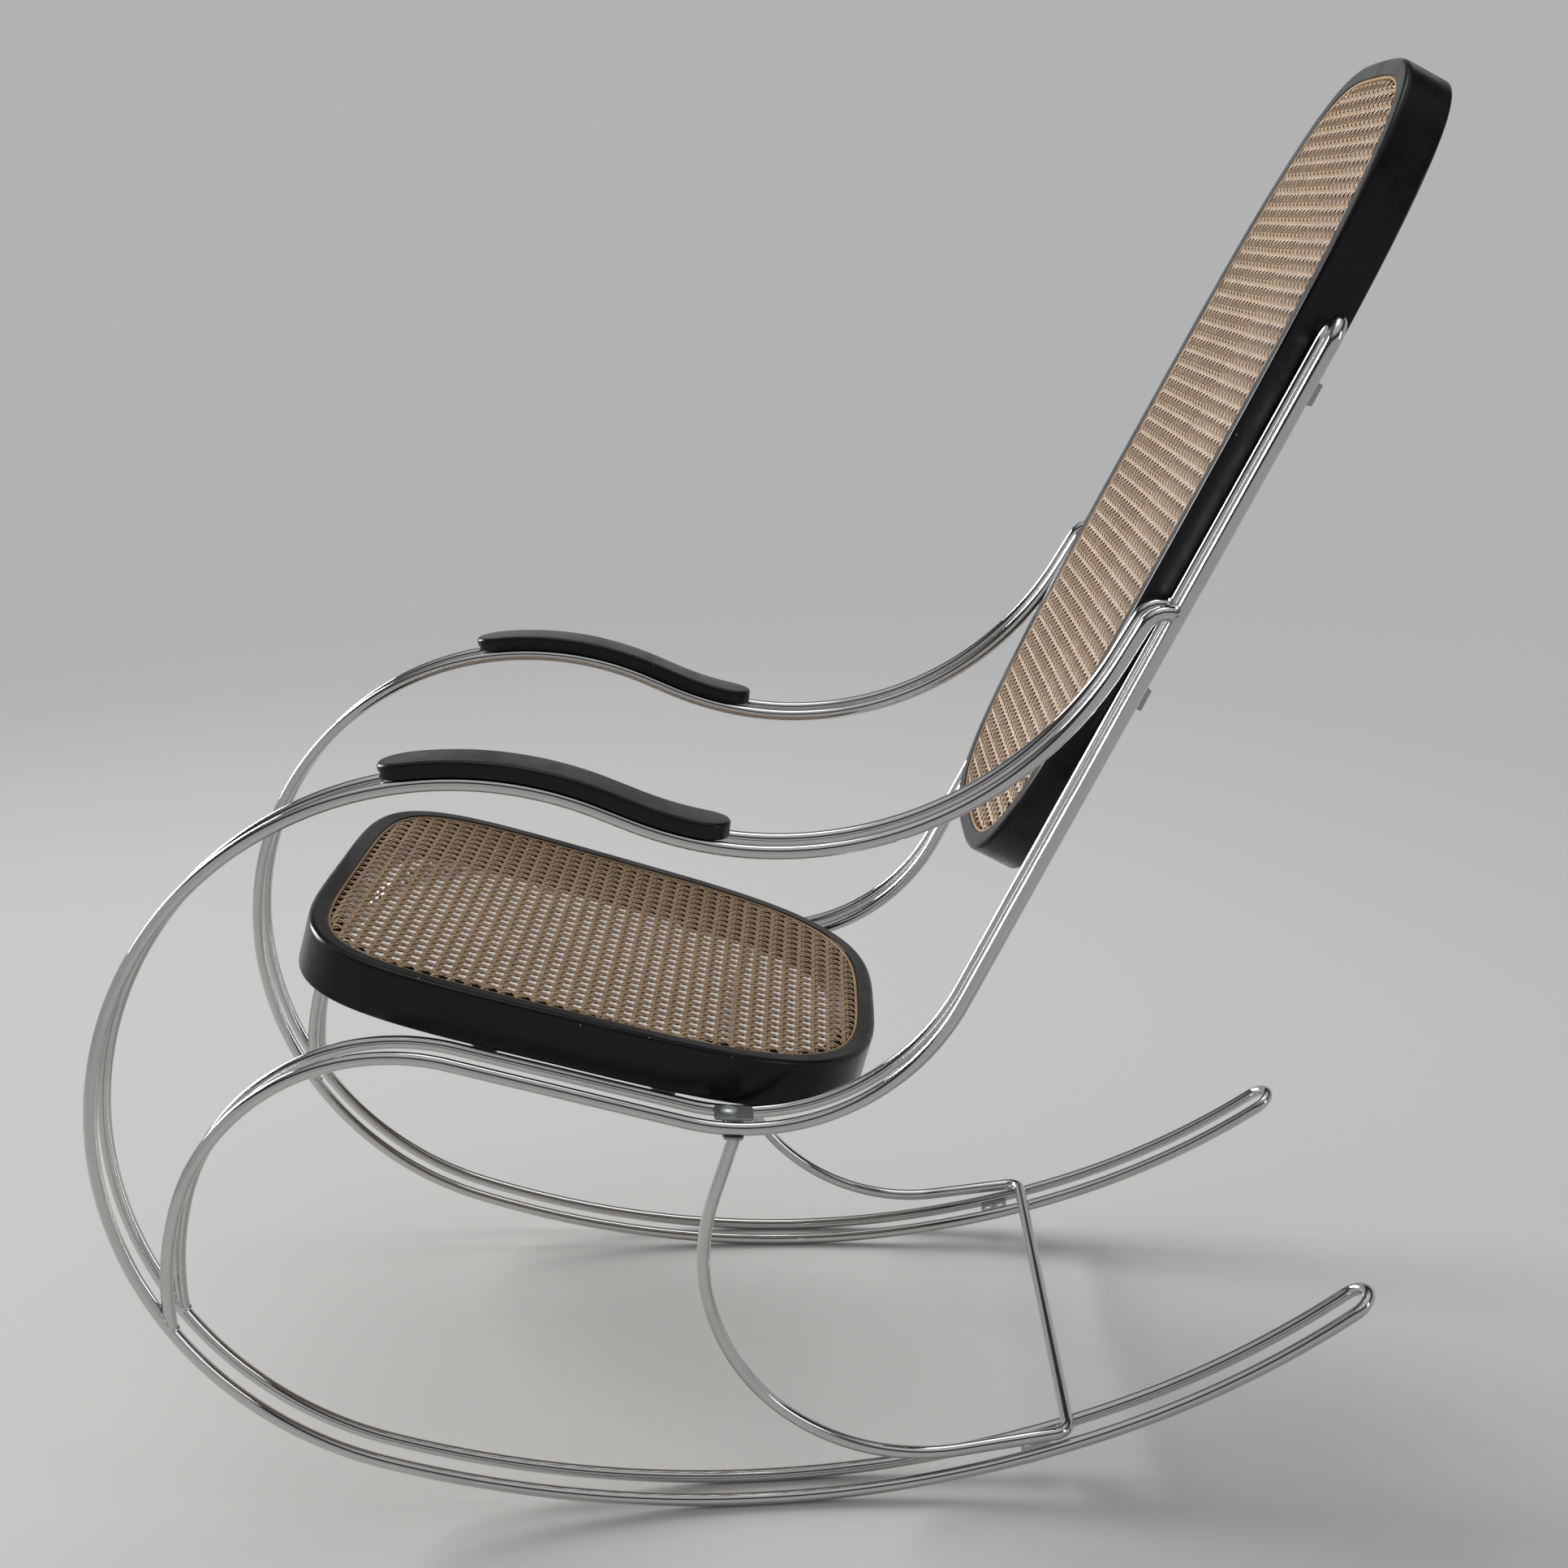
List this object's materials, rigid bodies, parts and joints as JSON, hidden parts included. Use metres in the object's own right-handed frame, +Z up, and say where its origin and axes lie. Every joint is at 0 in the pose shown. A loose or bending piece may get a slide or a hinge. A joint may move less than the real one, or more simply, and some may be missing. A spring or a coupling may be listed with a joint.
{
  "type": "rocking chair",
  "caption": "Rocking chair of chromed bent tube pairs with a cane seat and a tall cane back in black bentwood frames, black arm pads and a rear stretcher between the rockers.",
  "frame": {"origin": "middle of the bounding box on the floor, under the rockers", "axes": "+Z up; the sitter faces -Y; +X to the sitter's left; the chair is the same on both sides of X = 0"},
  "size_m": [0.5124, 1.0052, 1.0487],
  "materials": {
    "chrome": "polished",
    "zinc": "satin",
    "black_lacquer": "satin",
    "cane": "matte",
    "spline_reed": "matte"
  },
  "bodies": {
    "root": {"back_cane": "cane", "back_frame": "black_lacquer", "back_spline": "spline_reed", "left_arm_pad": "black_lacquer", "left_clamp_base": "zinc", "left_clamp_plate": "zinc", "left_clamp_screw": "zinc", "left_front_arm_plate": "zinc", "left_front_arm_screw": "zinc", "left_front_seat_screw": "zinc", "left_front_seat_tab": "zinc", "left_lower_back_bracket": "zinc", "left_lower_back_screw": "zinc", "left_rear_arm_plate": "zinc", "left_rear_arm_screw": "zinc", "left_rear_seat_screw": "zinc", "left_rear_seat_tab": "zinc", "left_rocker_arm_tube": "chrome", "left_rocker_plate": "zinc", "left_seat_back_tube": "chrome", "left_upper_back_bracket": "zinc", "left_upper_back_screw": "zinc", "rear_stretcher_tube": "chrome", "right_arm_pad": "black_lacquer", "right_clamp_base": "zinc", "right_clamp_plate": "zinc", "right_clamp_screw": "zinc", "right_front_arm_plate": "zinc", "right_front_arm_screw": "zinc", "right_front_seat_screw": "zinc", "right_front_seat_tab": "zinc", "right_lower_back_bracket": "zinc", "right_lower_back_screw": "zinc", "right_rear_arm_plate": "zinc", "right_rear_arm_screw": "zinc", "right_rear_seat_screw": "zinc", "right_rear_seat_tab": "zinc", "right_rocker_arm_tube": "chrome", "right_rocker_plate": "zinc", "right_seat_back_tube": "chrome", "right_upper_back_bracket": "zinc", "right_upper_back_screw": "zinc", "seat_cane": "cane", "seat_frame": "black_lacquer", "seat_spline": "spline_reed"}
  },
  "joints": []
}
